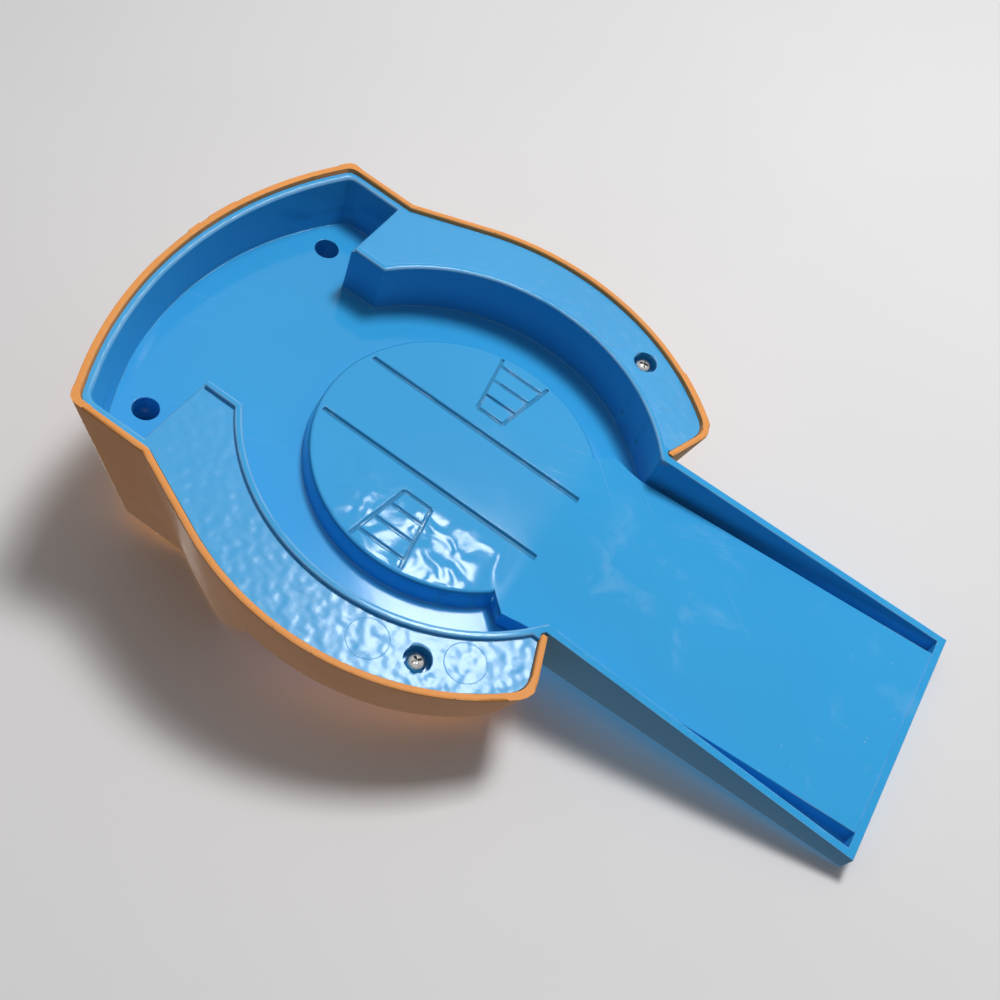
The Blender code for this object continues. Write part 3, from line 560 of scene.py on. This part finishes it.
def rounded(mesh, widths, name):
    """A mesh with its edges rounded by their own widths. New faces get the second material index."""
    most = max(widths.values())
    layer = mesh.edges.layers.float["bevel_weight_edge"]
    for edge, width in widths.items():
        edge[layer] = width / most
    data = bpy.data.meshes.new(name)
    mesh.to_mesh(data)
    data.materials.clear()
    data.materials.append(None)
    data.materials.append(None)
    carrier = linked("carrier", data)
    bevel = carrier.modifiers.new("rounding", "BEVEL")
    bevel.limit_method = "WEIGHT"
    bevel.offset_type = "OFFSET"
    bevel.width = most
    bevel.segments = 2
    bevel.use_clamp_overlap = False
    bevel.loop_slide = True
    bevel.material = 1
    return plain_mesh(carrier, name)


def folds(data):
    """Ends and middles of the edges at which rounding has turned the surface over on itself."""
    mesh = bmesh.new()
    mesh.from_mesh(data)
    spots = set()
    for edge in mesh.edges:
        if len(edge.link_faces) == 2 and edge.calc_length() > 20 * MERGE and edge.calc_face_angle() > FOLD:
            first, second = (vert.co for vert in edge.verts)
            spots.update(first.lerp(second, share).freeze() for share in (0.0, 0.5, 1.0))
    mesh.free()
    return spots


def near(edge, spot, reach):
    first, second = (vert.co for vert in edge.verts)
    share = max(0.0, min(1.0, intersect_point_line(spot, first, second)[1]))
    return (first.lerp(second, share) - spot).length < reach


def mark_edges(data):
    """Stores 1 on the ridge of each rounded outside edge and -1 in each rounded inside corner."""
    mesh = bmesh.new()
    mesh.from_mesh(data)
    layer = mesh.verts.layers.float.new("edge")
    for vert in mesh.verts:
        if not vert.link_faces or any(face.material_index != 1 for face in vert.link_faces):
            continue
        around = [edge.other_vert(vert).co for edge in vert.link_edges]
        middle = sum(around, Vector()) / len(around)
        vert[layer] = 1.0 if (middle - vert.co).dot(vert.normal) < 0 else -1.0
    for face in mesh.faces:
        face.material_index = 0
    mesh.to_mesh(data)
    mesh.free()


def softened(node, width_at, large=False):
    """A merged copy of a node's mesh with its sharp edges rounded, less so where that would fold."""
    mesh = bmesh.new()
    mesh.from_mesh(frame["nodes"][node].data)
    bmesh.ops.remove_doubles(mesh, verts=mesh.verts, dist=MERGE)
    bmesh.ops.dissolve_limit(mesh, angle_limit=FLAT, verts=mesh.verts, edges=mesh.edges)
    mesh.edges.layers.float.new("bevel_weight_edge")
    rooms = {edge: room_beside(edge) for edge in sharp_edges(mesh)}
    if large:
        split_ends(mesh, END_PIECE)
    widths = {edge: min(width_at(edge), rooms.get(edge, 1.0)) for edge in sharp_edges(mesh)}
    if large:
        many_sided = [face for face in mesh.faces if len(face.verts) > 4]
        bmesh.ops.triangulate(mesh, faces=many_sided, ngon_method="BEAUTY")
    for share in FOLD_SHARES:
        data = rounded(mesh, widths, node + "_moulding")
        spots = folds(data)
        if not spots:
            break
        for edge in widths:
            if any(near(edge, spot, FOLD_REACH) for spot in spots):
                widths[edge] *= share
    mesh.free()
    mark_edges(data)
    return levelled(smoothed(data))


def levelled(data):
    """The same mesh with level faces shaded flat, also where the rounding beside them ends."""
    normals = [corner.vector.copy() for corner in data.corner_normals]
    for face in data.polygons:
        if abs(face.normal.z) > LEVEL:
            for i in face.loop_indices:
                normals[i] = face.normal.copy()
    data.normals_split_custom_set(normals)
    return data


def smoothed(data, angle=SHARP):
    """Smooth shading that keeps sharp edges and lets the large faces stay flat."""
    data.shade_smooth()
    data.set_sharp_from_angle(angle=angle)
    carrier = linked("carrier", data)
    weighting = carrier.modifiers.new("weighting", "WEIGHTED_NORMAL")
    weighting.keep_sharp = True
    weighting.weight = 80
    return plain_mesh(carrier, data.name + "_finished")


def plain_mesh(carrier, name):
    """The evaluated mesh of a carrier object, which is removed."""
    bpy.context.view_layer.update()
    graph = bpy.context.evaluated_depsgraph_get()
    mesh = bpy.data.meshes.new_from_object(carrier.evaluated_get(graph))
    mesh.name = name
    bpy.data.objects.remove(carrier, do_unlink=True)
    return mesh


def lathe(name, profile, segments):
    """A closed mesh turned about Z from a profile of radius and height that starts and ends on the axis."""
    mesh = bmesh.new()
    rings = []
    for radius, z in profile:
        count = 1 if radius == 0 else segments
        angles = [2 * math.pi * i / segments for i in range(count)]
        rings.append([mesh.verts.new((radius * math.cos(a), radius * math.sin(a), z)) for a in angles])
    for low, high in zip(rings, rings[1:]):
        for i in range(segments):
            j = (i + 1) % segments
            corners = (low[i % len(low)], low[j % len(low)], high[j % len(high)], high[i % len(high)])
            mesh.faces.new(list(dict.fromkeys(corners)))
    bmesh.ops.recalc_face_normals(mesh, faces=mesh.faces)
    return data_of(mesh, name)


# Node trees for what repeats


class Tree:
    """A geometry node tree under construction, with named inputs for its sizes."""

    def __init__(self, name, **inputs):
        self.tree = bpy.data.node_groups.new(name, "GeometryNodeTree")
        self.tree.interface.new_socket("Geometry", in_out="INPUT", socket_type="NodeSocketGeometry")
        self.ids = {}
        for key, kind in inputs.items():
            socket = self.tree.interface.new_socket(key, in_out="INPUT", socket_type="NodeSocket" + kind)
            self.ids[key] = socket.identifier
        self.tree.interface.new_socket("Geometry", in_out="OUTPUT", socket_type="NodeSocketGeometry")
        self.entry = self.tree.nodes.new("NodeGroupInput")

    def node(self, kind, options=None, inputs=None):
        node = self.tree.nodes.new("GeometryNode" + kind)
        for key, value in (options or {}).items():
            setattr(node, key, value)
        for key, value in (inputs or {}).items():
            if isinstance(value, bpy.types.NodeSocket):
                self.tree.links.new(value, node.inputs[key])
            else:
                node.inputs[key].default_value = value
        return node

    def finish(self, geometry):
        """Realises the instances and sets the material, as the export needs."""
        real = self.node("RealizeInstances", None, {"Geometry": geometry})
        inputs = {"Geometry": real.outputs[0], "Material": self.entry.outputs["Material"]}
        coated = self.node("SetMaterial", None, inputs)
        end = self.tree.nodes.new("NodeGroupOutput")
        self.tree.links.new(coated.outputs[0], end.inputs[0])
        return self

    def run(self, name, points=(), turns=(), sizes=(), **values):
        """Runs the tree on a set of points and returns a plain mesh."""
        data = bpy.data.meshes.new(name + "_points")
        data.from_pydata([tuple(point) for point in points], [], [])
        for key, kind, rows in (("turn", "FLOAT_VECTOR", turns), ("size", "FLOAT", sizes)):
            if rows:
                attribute = data.attributes.new(key, kind, "POINT")
                flat = [part for row in rows for part in row] if kind == "FLOAT_VECTOR" else list(rows)
                attribute.data.foreach_set("vector" if kind == "FLOAT_VECTOR" else "value", flat)
        carrier = linked(name + "_carrier", data)
        modifier = carrier.modifiers.new(name, "NODES")
        modifier.node_group = self.tree
        for key, value in values.items():
            modifier[self.ids[key]] = value
        return plain_mesh(carrier, name)


def scatter_tree(name):
    """Puts one object on every point, turned and scaled by the point's own attributes."""
    tree = Tree(name, Piece="Object", Material="Material")
    info = tree.node("ObjectInfo", None, {"Object": tree.entry.outputs["Piece"]})
    turn = tree.node("InputNamedAttribute", {"data_type": "FLOAT_VECTOR"}, {"Name": "turn"})
    size = tree.node("InputNamedAttribute", {"data_type": "FLOAT"}, {"Name": "size"})
    inputs = {"Points": tree.entry.outputs["Geometry"], "Instance": info.outputs["Geometry"],
              "Rotation": turn.outputs["Attribute"], "Scale": size.outputs["Attribute"]}
    return tree.finish(tree.node("InstanceOnPoints", None, inputs).outputs[0])


def coil_tree():
    """A wound spring along Z, from the number of turns, the radius, the height and the wire."""
    inputs = dict.fromkeys(("Turns", "Radius", "Height", "Wire"), "Float")
    tree = Tree("return_spring_tree", **inputs, Material="Material")
    sizes = tree.entry.outputs
    coil = tree.node("CurveSpiral", None, {"Resolution": 40, "Rotations": sizes["Turns"],
                                           "Start Radius": sizes["Radius"], "End Radius": sizes["Radius"],
                                           "Height": sizes["Height"]})
    ring = tree.node("CurvePrimitiveCircle", {"mode": "RADIUS"}, {"Resolution": 12, "Radius": sizes["Wire"]})
    tube = tree.node("CurveToMesh", None, {"Curve": coil.outputs[0], "Profile Curve": ring.outputs[0],
                                           "Fill Caps": True})
    smooth = tree.node("SetShadeSmooth", None, {"Geometry": tube.outputs[0]})
    return tree.finish(smooth.outputs[0])


def scattered(name, mesh, slot, points, turns=None, sizes=None):
    """One mesh with a copy of another at every point, by default upright and at full size."""
    turns = turns or [(0.0, 0.0, 0.0)] * len(points)
    sizes = sizes or [1.0] * len(points)
    pattern = linked(name + "_pattern", mesh)
    tree = scatter_tree(name + "_tree")
    data = tree.run(name, points, turns, sizes, Piece=pattern, Material=finish_for(slot))
    bpy.data.objects.remove(pattern, do_unlink=True)
    return data


# Pieces


def screw_mesh():
    """A pan-head screw of head radius 1, with its face at zero, its point up and a cross recess."""
    profile = [(0.0, 0.0), (0.30, 0.004), (0.60, 0.06), (0.80, 0.16), (0.94, 0.32), (1.0, 0.50), (1.0, 0.76),
               (0.97, 0.82), (0.50, 0.82)]
    z, thread_end, pitch = 0.90, 4.9, 0.36
    while z < thread_end:
        profile += [(0.50, z), (0.60, z + 0.13), (0.50, z + 0.26)]
        z += pitch
    profile += [(0.42, 5.2), (0.0, 5.65)]
    screw = linked("screw_blank", lathe("screw_blank", profile, 36))
    cutters = []
    for turn in (0.0, math.pi / 2):
        mesh = bmesh.new()
        bmesh.ops.create_cube(mesh, size=1.0)
        for vert in mesh.verts:
            reach, half, depth = (0.34, 0.11, 0.52) if vert.co.z > 0 else (0.66, 0.16, -0.2)
            vert.co = (math.copysign(reach, vert.co.x), math.copysign(half, vert.co.y), depth)
        mesh.transform(Matrix.Rotation(turn, 4, "Z"))
        cutter = linked("recess", data_of(mesh, "recess"))
        cutters.append(cutter)
        modifier = screw.modifiers.new("recess", "BOOLEAN")
        modifier.operation = "DIFFERENCE"
        modifier.solver = "EXACT"
        modifier.object = cutter
    data = plain_mesh(screw, "screw_head")
    for cutter in cutters:
        bpy.data.objects.remove(cutter, do_unlink=True)
    return smoothed(data, math.radians(32))


def on_disc(place):
    """True for the small ribs and grooves on the sunk disc."""
    return Vector((place.x - DISC_X, place.y)).length < DISC_REACH and DISC_LOW < place.z < DISC_HIGH


def in_well(place):
    """True for the mouths of the screw wells under the arms."""
    return Vector((place.x - WELL_X, abs(place.y) - WELL_Y)).length < WELL_REACH and place.z < RIM_LEVEL


def ejector_ring(radius):
    """A low round ridge that is closed all the way round."""
    mesh = bmesh.new()
    rows = []
    for i in range(MARK_SEGMENTS):
        angle = 2 * math.pi * i / MARK_SEGMENTS
        ridge = [(radius + out * MM, z * MM) for out, z in MARK_PROFILE]
        rows.append([mesh.verts.new((r * math.cos(angle), r * math.sin(angle), z)) for r, z in ridge])
    for row, following in zip(rows, rows[1:] + rows[:1]):
        for j in range(len(row)):
            k = (j + 1) % len(row)
            mesh.faces.new((row[j], row[k], following[k], following[j]))
    bmesh.ops.recalc_face_normals(mesh, faces=mesh.faces)
    data = data_of(mesh, "ejector_ring")
    data.shade_smooth()
    return data


class LAUNCHER_OT_tray(bpy.types.Operator):
    """Makes the blue tray with its ramp, and the round ejector marks under its arms."""

    bl_idname = "launcher.tray"
    bl_label = "Tray"

    def execute(self, context):
        sizes = context.scene.launcher_sizes

        def width_at(edge):
            middle = (edge.verts[0].co + edge.verts[1].co) / 2
            if all(on_disc(vert.co) for vert in edge.verts):
                return sizes.fine_edge
            if in_well(middle):
                return sizes.well_edge
            seam = middle.z < RIM_LEVEL and middle.x < RAMP_ROOT
            return sizes.seam_edge if seam else sizes.shell_edge

        mesh = softened("base_tray", width_at, True)
        show("tray_moulding", mesh, "base", "blue_plastic", "base_tray")
        spots = [(x * MM + ARENA_SHIFT, y * side * MM, PAD_LEVEL) for x, y in MARKS for side in (-1, 1)]
        marks = scattered("ejector_marks", ejector_ring(sizes.mark_radius), "blue_plastic", spots)
        show("ejector_marks", marks, "base", "blue_plastic")
        return {"FINISHED"}


class LAUNCHER_OT_housing(bpy.types.Operator):
    """Makes the orange housing."""

    bl_idname = "launcher.housing"
    bl_label = "Housing"

    def execute(self, context):
        sizes = context.scene.launcher_sizes

        def width_at(edge):
            middle = (edge.verts[0].co + edge.verts[1].co) / 2
            if middle.z > GROUND:
                return sizes.shell_edge
            facing = sum((face.normal for face in edge.link_faces), Vector())
            outside = facing.x * (middle.x - ARENA_SHIFT) + facing.y * middle.y > 0
            return sizes.rim_edge if outside else sizes.lip_edge

        mesh = softened("upper_housing", width_at, True)
        show("housing_moulding", mesh, "base", "orange_plastic", "upper_housing")
        return {"FINISHED"}


class LAUNCHER_OT_button(bpy.types.Operator):
    """Makes the launch button and the low grip ribs across it."""

    bl_idname = "launcher.button"
    bl_label = "Button"

    def execute(self, context):
        sizes = context.scene.launcher_sizes
        mesh = softened("launch_button", lambda edge: sizes.inner_edge)
        show("button_cap", mesh, "button", "blue_plastic", "launch_button")
        low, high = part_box("launch_button")
        middle = (low + high) / 2
        rib = bmesh.new()
        bmesh.ops.create_uvsphere(rib, u_segments=20, v_segments=10, radius=1.0)
        for vert in rib.verts:
            x, y, z = vert.co
            end = math.copysign(sizes.grip_half - RIB_HALF, y)
            vert.co = (RIB_HALF * x, end + RIB_HALF * y, RIB_RISE * z)
        data = data_of(rib, "grip_rib")
        data.shade_smooth()
        count = sizes.grip_ribs
        rows = [(i - (count - 1) / 2) * sizes.grip_pitch for i in range(count)]
        spots = [(middle.x + x, middle.y, high.z - RIB_SINK) for x in rows]
        ribs = scattered("grip_ribs", data, "blue_plastic", spots)
        show("grip_ribs", ribs, "button", "blue_plastic")
        return {"FINISHED"}


class LAUNCHER_OT_mechanism(bpy.types.Operator):
    """Makes the frame, rocker, pusher, pin, clips and rods inside the housing."""

    bl_idname = "launcher.mechanism"
    bl_label = "Mechanism"

    rows = (
        ("launch_frame", "frame_moulding", "base", "white_plastic", 1.0),
        ("rocker", "rocker_moulding", "rocker", "grey_plastic", 1.0),
        ("pusher", "pusher_moulding", "pusher", "white_plastic", 1.0),
        ("pusher_pad", "bumper_pad", "pusher", "black_rubber", 1.6),
        ("rocker_pin", "pivot_pin", "base", "steel", 1.0),
        ("guide_rod_left", "left_rod", "base", "steel", 1.2),
        ("guide_rod_right", "right_rod", "base", "steel", 1.2),
        ("pin_clip_left", "left_clip", "base", "zinc_screws", 0.4),
        ("pin_clip_right", "right_clip", "base", "zinc_screws", 0.4),
    )

    def execute(self, context):
        width = context.scene.launcher_sizes.inner_edge
        for node, name, body, slot, share in self.rows:
            show(name, softened(node, lambda edge: width * share), body, slot, node)
        return {"FINISHED"}


class LAUNCHER_OT_springs(bpy.types.Operator):
    """Winds the two return springs round their rods."""

    bl_idname = "launcher.springs"
    bl_label = "Springs"

    def execute(self, context):
        sizes = context.scene.launcher_sizes
        travel = next(joint for joint in frame["joints"] if joint["name"] == "pusher_kick")["range_m"][1]
        tree = coil_tree()
        for side in ("left", "right"):
            node = "return_spring_" + side
            low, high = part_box(node)
            rod_low, rod_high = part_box("guide_rod_" + side)
            axis = (rod_low + rod_high) / 2
            wire = sizes.spring_wire
            mesh = tree.run(
                node,
                Turns=float(sizes.spring_turns),
                Radius=sizes.spring_radius,
                Height=high.x - low.x - 2 * wire,
                Wire=wire,
                Material=finish_for("spring_steel"),
            )
            place = Matrix.Translation((low.x + wire, axis.y, axis.z)) @ Matrix.Rotation(math.pi / 2, 4, "Y")
            mesh.transform(place)
            spring = show(side + "_return_spring", mesh, "base", "spring_steel", node)
            keep = (high.x - low.x - travel) / (high.x - low.x)
            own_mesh(spring)
        return {"FINISHED"}


class LAUNCHER_OT_screws(bpy.types.Operator):
    """Makes the case screws, seen from below, and the frame screws inside."""

    bl_idname = "launcher.screws"
    bl_label = "Screws"

    def execute(self, context):
        head = screw_mesh()
        sides = ("left", "right")
        groups = {
            "case_screws": [f"{end}_screw_{side}" for end in ("arm", "block") for side in sides],
            "frame_screws": [f"frame_screw_{end}_{side}" for end in ("front", "rear") for side in sides],
        }
        for name, nodes in groups.items():
            upright = name == "case_screws"
            spots, turns, scales = [], [], []
            for i, node in enumerate(nodes):
                low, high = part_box(node)
                middle = (low + high) / 2
                spots.append((middle.x, middle.y, low.z if upright else high.z))
                turns.append((0.0 if upright else math.pi, 0.0, 0.55 + 0.7 * i))
                scales.append((high.x - low.x) / 2)
            mesh = scattered(name, head, "zinc_screws", spots, turns, scales)
            show(name, mesh, "base", "zinc_screws", *nodes)
        return {"FINISHED"}


# Stage


def one_sided(name, base, fade):
    """A pale table that is seen and shaded from its front only, and melts into the background far out."""
    finish = Finish(name, roughness=0.75, specular_ior_level=0.2)
    cloud = finish.noise(7.0, 3.0).between(0.25, 0.75)
    finish.set(base_color=finish.mix(cloud, tinted(base, 0.985), tinted(base, 1.01)))
    front = finish.own()
    clear = finish.node("ShaderNodeBsdfTransparent")
    if fade:
        far = finish.node("ShaderNodeVectorMath", {"operation": "LENGTH"}, {0: finish.place}, "Value")
        front = finish.shaders(far.between(*fade), front, clear)
    sides = finish.shaders(finish.node("ShaderNodeNewGeometry", output="Backfacing"), front, clear)
    finish.surface(sides)
    return finish.material


def add_floor(name, corners, material):
    """A stage surface that takes light and shadow but throws none on the toy."""
    mesh = bpy.data.meshes.new(name)
    mesh.from_pydata(corners, [], [(0, 1, 2, 3)])
    mesh.materials.append(material)
    floor = linked(name, mesh)
    floor.visible_diffuse = floor.visible_glossy = floor.visible_transmission = floor.visible_shadow = False


def add_lamp(name, way, reach, width, height, watts):
    """An area lamp that shines on the toy from a way off."""
    data = bpy.data.lights.new(name, "AREA")
    data.shape = "RECTANGLE"
    data.size, data.size_y = width, height
    data.energy = watts
    lamp = linked(name, data)
    back = way.normalized()
    side = (LAMP_WIDTH - back * LAMP_WIDTH.dot(back)).normalized()
    turn = Matrix((side, back.cross(side), back)).transposed().to_4x4()
    lamp.matrix_world = Matrix.Translation(LAMP_AIM + back * reach) @ turn
    return lamp


def add_camera():
    """The photograph's view: the toy lies on its back, so the camera looks at its underside."""
    right = Vector((0.8149, -0.5091, -0.2771))
    down = Vector((0.5735, 0.6393, 0.5122))
    forward = Vector((-0.0836, -0.5763, 0.8130))
    turn = Matrix((right, -down, -forward)).transposed().to_4x4()
    data = bpy.data.cameras.new("photo_camera")
    data.lens = 44.04
    data.sensor_width = 36.0
    data.clip_start, data.clip_end = 0.01, 50.0
    camera = linked("photo_camera", data)
    camera.matrix_world = Matrix.Translation((0.02241, 0.18777, -0.25045)) @ turn
    bpy.context.scene.camera = camera


def add_world(light, base):
    """Room light from the window's side and from above.

    The camera sees a pale room, and reflections see its bright side.
    """
    world = bpy.data.worlds.new("pale_room")
    world.use_nodes = True
    bpy.context.scene.world = world
    sky = Shading(world.node_tree)
    sky.tree.nodes.clear()
    way = sky.node("ShaderNodeTexCoord", output="Generated")
    inputs = {0: way, 1: tuple(WINDOW.normalized())}
    side = sky.node("ShaderNodeVectorMath", {"operation": "DOT_PRODUCT"}, inputs, "Value").between(-0.25, 1.0)

    def glow(tint, level):
        return sky.node("ShaderNodeBackground", None, {"Color": tint, "Strength": level})

    white = (1.0, 1.0, 1.0)
    above = sky.node("ShaderNodeSeparateXYZ", None, {0: way}, "Z").between(-0.05, 0.5)
    lit = sky.shaders(side, glow(white, light.dim), glow(white, light.bright))
    lit = sky.shaders(above, lit, glow(white, light.fill))
    kinds = ("Camera", "Glossy", "Transmission")
    camera, glossy, through = (sky.node("ShaderNodeLightPath", output=f"Is {kind} Ray") for kind in kinds)
    seen = camera.most(glossy.most(through) * side)
    room = sky.shaders(seen, lit, glow(base, 1.0))
    sky.node("ShaderNodeOutputWorld", None, {"Surface": room}, None)


class LAUNCHER_OT_stage(bpy.types.Operator):
    """Sets the camera, lamps, pale room, the table under the lying toy and a floor for upright views."""

    bl_idname = "launcher.stage"
    bl_label = "Stage"

    def execute(self, context):
        colours, _, light = settings()
        base = tuple(colours.table)
        add_camera()
        add_world(light, tinted(base, 1.10))
        half = TABLE_HALF

        def lying(x, y):
            return (x, y, RAMP_TIP_Z + TABLE_SLOPE * (RAMP_TIP_X - x) + TABLE_GAP)

        corners = [lying(-half, -half), lying(-half, half), lying(half, half), lying(half, -half)]
        add_floor("lying_table", corners, one_sided("lying_table_finish", base, None))
        corners = [(-half, -half, 0.0), (half, -half, 0.0), (half, half, 0.0), (-half, half, 0.0)]
        add_floor("standing_floor", corners, one_sided("standing_floor_finish", base, FLOOR_FADE))
        soft = add_lamp("window_light", WINDOW, 1.0, 0.26, 0.28, light.window)
        soft.visible_glossy = False
        add_lamp("window_glint", GLINT, 1.0, 0.13, 0.20, light.glint)
        add_lamp("overhead_light", OVERHEAD, 1.1, 0.55, 0.45, light.overhead)
        context.scene.view_settings.view_transform = "Standard"
        return {"FINISHED"}


class LAUNCHER_PT_pieces(bpy.types.Panel):
    """Lists the settings and the operators of the launcher."""

    bl_idname = "LAUNCHER_PT_pieces"
    bl_label = "Toy Vehicle Launcher"
    bl_space_type = "VIEW_3D"
    bl_region_type = "UI"
    bl_category = "Launcher"

    def draw(self, context):
        for group in settings():
            box = self.layout.box()
            for key in group.__annotations__:
                box.prop(group, key)
        for step in STEPS:
            self.layout.operator(step.bl_idname)


STEPS = (
    LAUNCHER_OT_tray,
    LAUNCHER_OT_housing,
    LAUNCHER_OT_button,
    LAUNCHER_OT_mechanism,
    LAUNCHER_OT_springs,
    LAUNCHER_OT_screws,
    LAUNCHER_OT_stage,
)
CLASSES = (LauncherColours, LauncherSizes, LauncherLight, *STEPS, LAUNCHER_PT_pieces)


def register():
    for item in CLASSES:
        bpy.utils.register_class(item)
    bpy.types.Scene.launcher_colours = PointerProperty(type=LauncherColours)
    bpy.types.Scene.launcher_sizes = PointerProperty(type=LauncherSizes)
    bpy.types.Scene.launcher_light = PointerProperty(type=LauncherLight)


def unregister():
    for key in ("launcher_colours", "launcher_sizes", "launcher_light"):
        delattr(bpy.types.Scene, key)
    for item in reversed(CLASSES):
        bpy.utils.unregister_class(item)


def main():
    register()
    bpy.ops.launcher.tray()
    bpy.ops.launcher.housing()
    bpy.ops.launcher.button()
    bpy.ops.launcher.mechanism()
    bpy.ops.launcher.springs()
    bpy.ops.launcher.screws()
    bpy.ops.launcher.stage()


if __name__ == "__main__":
    main()
